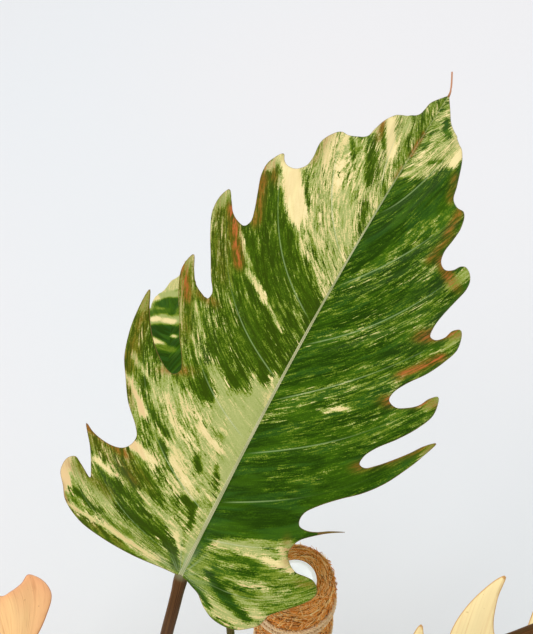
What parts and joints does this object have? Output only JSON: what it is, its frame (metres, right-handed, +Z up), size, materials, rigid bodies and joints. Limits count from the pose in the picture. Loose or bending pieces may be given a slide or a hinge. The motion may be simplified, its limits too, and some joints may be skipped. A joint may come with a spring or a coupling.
{
  "type": "potted climbing philodendron",
  "caption": "Potted climbing philodendron with large toothed marbled leaves on long stalks, tied beside a coir-wrapped pole on a hollow pipe.",
  "frame": {"origin": "middle of the pot's flat underside, on the surface the pot stands on", "axes": "+Z up along the pole; -Y towards the viewer of the picture; +X to the viewer's right"},
  "size_m": [0.9779, 0.7131, 0.7164],
  "materials": {
    "pot_glaze": "satin",
    "bark_mix": "matte",
    "white_pipe": "satin",
    "coir_fibre": "matte",
    "jute_twine": "matte",
    "stem_skin": "satin",
    "stalk_skin": "satin",
    "marbled_leaf": "satin",
    "caramel_leaf": "satin",
    "butter_leaf": "satin"
  },
  "bodies": {
    "root": {"pot": "pot_glaze", "soil": "bark_mix", "pole_pipe": "white_pipe", "pole_coir": "coir_fibre", "pole_twine": "jute_twine", "stem": "stem_skin", "stalk_1": "stalk_skin", "blade_1": "marbled_leaf", "stalk_2": "stalk_skin", "blade_2": "marbled_leaf", "stalk_3": "stalk_skin", "blade_3": "caramel_leaf", "stalk_4": "stalk_skin", "blade_4": "butter_leaf", "stalk_5": "stalk_skin", "blade_5": "marbled_leaf", "stalk_6": "stalk_skin", "blade_6": "marbled_leaf", "stalk_7": "stalk_skin", "blade_7": "marbled_leaf", "stalk_8": "stalk_skin", "blade_8": "marbled_leaf"}
  },
  "joints": []
}
